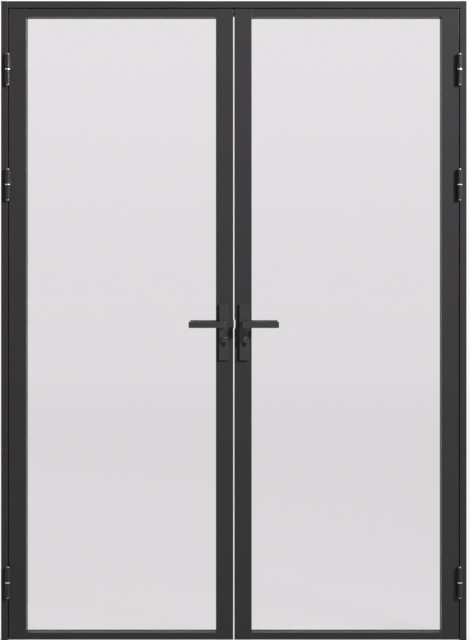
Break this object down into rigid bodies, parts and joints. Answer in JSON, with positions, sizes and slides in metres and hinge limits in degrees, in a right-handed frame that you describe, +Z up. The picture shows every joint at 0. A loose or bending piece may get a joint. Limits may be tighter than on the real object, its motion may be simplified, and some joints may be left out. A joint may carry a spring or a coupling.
{
  "type": "glazed french doors",
  "caption": "Pair of full-height glazed metal doors in a three-sided frame, with barrel hinges, lever handles, a lock and shoot bolts.",
  "frame": {"origin": "on the floor, midway between the leaves and midway through the leaves' depth", "axes": "+Z up, the front with the hinge barrels faces -Y, +X to the right as seen from the front"},
  "size_m": [1.5054, 0.156, 2.073],
  "materials": {
    "frame_paint": "satin charcoal powder coat",
    "handle_paint": "satin charcoal coating",
    "clear_glass": "polished clear",
    "black_rubber": "matt",
    "block_plastic": "matt",
    "turned_steel": "fine turned, bright",
    "plated_steel": "zinc plated",
    "bolt_steel": "satin",
    "cylinder_brass": "blackened nickel plate on brass"
  },
  "bodies": {
    "frame": {"frame_head": "frame_paint", "left_jamb": "frame_paint", "right_jamb": "frame_paint", "frame_seals": "black_rubber", "hinge_pins": "turned_steel", "hinge_washers": "turned_steel", "left_top_frame_knuckle": "frame_paint", "left_middle_frame_knuckle": "frame_paint", "left_bottom_frame_knuckle": "frame_paint", "right_top_frame_knuckle": "frame_paint", "right_middle_frame_knuckle": "frame_paint", "right_bottom_frame_knuckle": "frame_paint"},
    "left_leaf": {"left_hinge_stile": "frame_paint", "left_meeting_stile": "frame_paint", "left_top_rail": "frame_paint", "left_bottom_rail": "frame_paint", "left_glass": "clear_glass", "left_glazing_gaskets": "black_rubber", "left_glazing_beads": "frame_paint", "left_setting_blocks": "block_plastic", "left_front_plate": "handle_paint", "left_rear_plate": "handle_paint", "left_leaf_screws": "plated_steel", "left_cylinder": "cylinder_brass", "left_top_leaf_knuckle": "frame_paint", "left_middle_leaf_knuckle": "frame_paint", "left_bottom_leaf_knuckle": "frame_paint", "left_faceplate": "bolt_steel", "left_lock_case": "plated_steel"},
    "left_handle": {"left_front_lever": "handle_paint", "left_rear_lever": "handle_paint", "left_spindle": "plated_steel", "left_lock_follower": "plated_steel"},
    "latch": {"left_latch_bolt": "bolt_steel"},
    "left_turn": {"left_thumb_turn": "handle_paint"},
    "dead_bolt": {"left_dead_bolt": "bolt_steel"},
    "right_leaf": {"right_hinge_stile": "frame_paint", "right_meeting_stile": "frame_paint", "right_top_rail": "frame_paint", "right_bottom_rail": "frame_paint", "right_glass": "clear_glass", "right_glazing_gaskets": "black_rubber", "right_glazing_beads": "frame_paint", "right_setting_blocks": "block_plastic", "right_front_plate": "handle_paint", "right_rear_plate": "handle_paint", "right_leaf_screws": "plated_steel", "right_cylinder": "cylinder_brass", "right_top_leaf_knuckle": "frame_paint", "right_middle_leaf_knuckle": "frame_paint", "right_bottom_leaf_knuckle": "frame_paint", "right_strike_plate": "bolt_steel", "right_gear_case": "plated_steel"},
    "right_handle": {"right_front_lever": "handle_paint", "right_rear_lever": "handle_paint", "right_spindle": "plated_steel", "right_gear_pinion": "plated_steel"},
    "top_bolt": {"right_top_shoot_bolt": "bolt_steel"},
    "bottom_bolt": {"right_bottom_shoot_bolt": "bolt_steel"},
    "right_turn": {"right_thumb_turn": "handle_paint"}
  },
  "joints": [
    {"name": "left_leaf_swing", "type": "hinge", "parent": "frame", "child": "left_leaf", "pos_m": [-0.72925, -0.029, 1], "axis": [0, 0, -1], "range_deg": [0, 170]},
    {"name": "right_leaf_swing", "type": "hinge", "parent": "frame", "child": "right_leaf", "pos_m": [0.72925, -0.029, 1], "axis": [0, 0, 1], "range_deg": [0, 170]},
    {"name": "left_lever_turn", "type": "hinge", "parent": "left_leaf", "child": "left_handle", "pos_m": [-0.03275, 0, 1.028], "axis": [0, -1, 0], "range_deg": [0, 35], "stiffness_Nm_per_rad": 1.5, "springref_deg": -34.38},
    {"name": "latch_slide", "type": "slide", "parent": "left_leaf", "child": "latch", "axis": [-1, 0, 0], "range_m": [0, 0.00602]},
    {"name": "left_turn_rotate", "type": "hinge", "parent": "left_leaf", "child": "left_turn", "pos_m": [-0.03275, 0, 0.98], "axis": [0, 1, 0], "range_deg": [0, 90]},
    {"name": "dead_bolt_slide", "type": "slide", "parent": "left_leaf", "child": "dead_bolt", "axis": [1, 0, 0], "range_m": [0, 0.0165]},
    {"name": "right_lever_turn", "type": "hinge", "parent": "right_leaf", "child": "right_handle", "pos_m": [0.03275, 0, 1.028], "axis": [0, -1, 0], "range_deg": [0, 90]},
    {"name": "top_bolt_slide", "type": "slide", "parent": "right_leaf", "child": "top_bolt", "axis": [0, 0, 1], "range_m": [0, 0.01178]},
    {"name": "bottom_bolt_slide", "type": "slide", "parent": "right_leaf", "child": "bottom_bolt", "axis": [0, 0, -1], "range_m": [0, 0.01885]},
    {"name": "right_turn_rotate", "type": "hinge", "parent": "right_leaf", "child": "right_turn", "pos_m": [0.03275, 0, 0.98], "axis": [0, -1, 0], "range_deg": [0, 90]}
  ],
  "couplings": [
    {"joint": "latch_slide", "follows": "left_lever_turn", "m_per_rad": 0.009859},
    {"joint": "left_turn_rotate", "follows": "dead_bolt_slide", "rad_per_m": 95.199},
    {"joint": "top_bolt_slide", "follows": "right_lever_turn", "m_per_rad": 0.0075},
    {"joint": "bottom_bolt_slide", "follows": "right_lever_turn", "m_per_rad": 0.012}
  ]
}
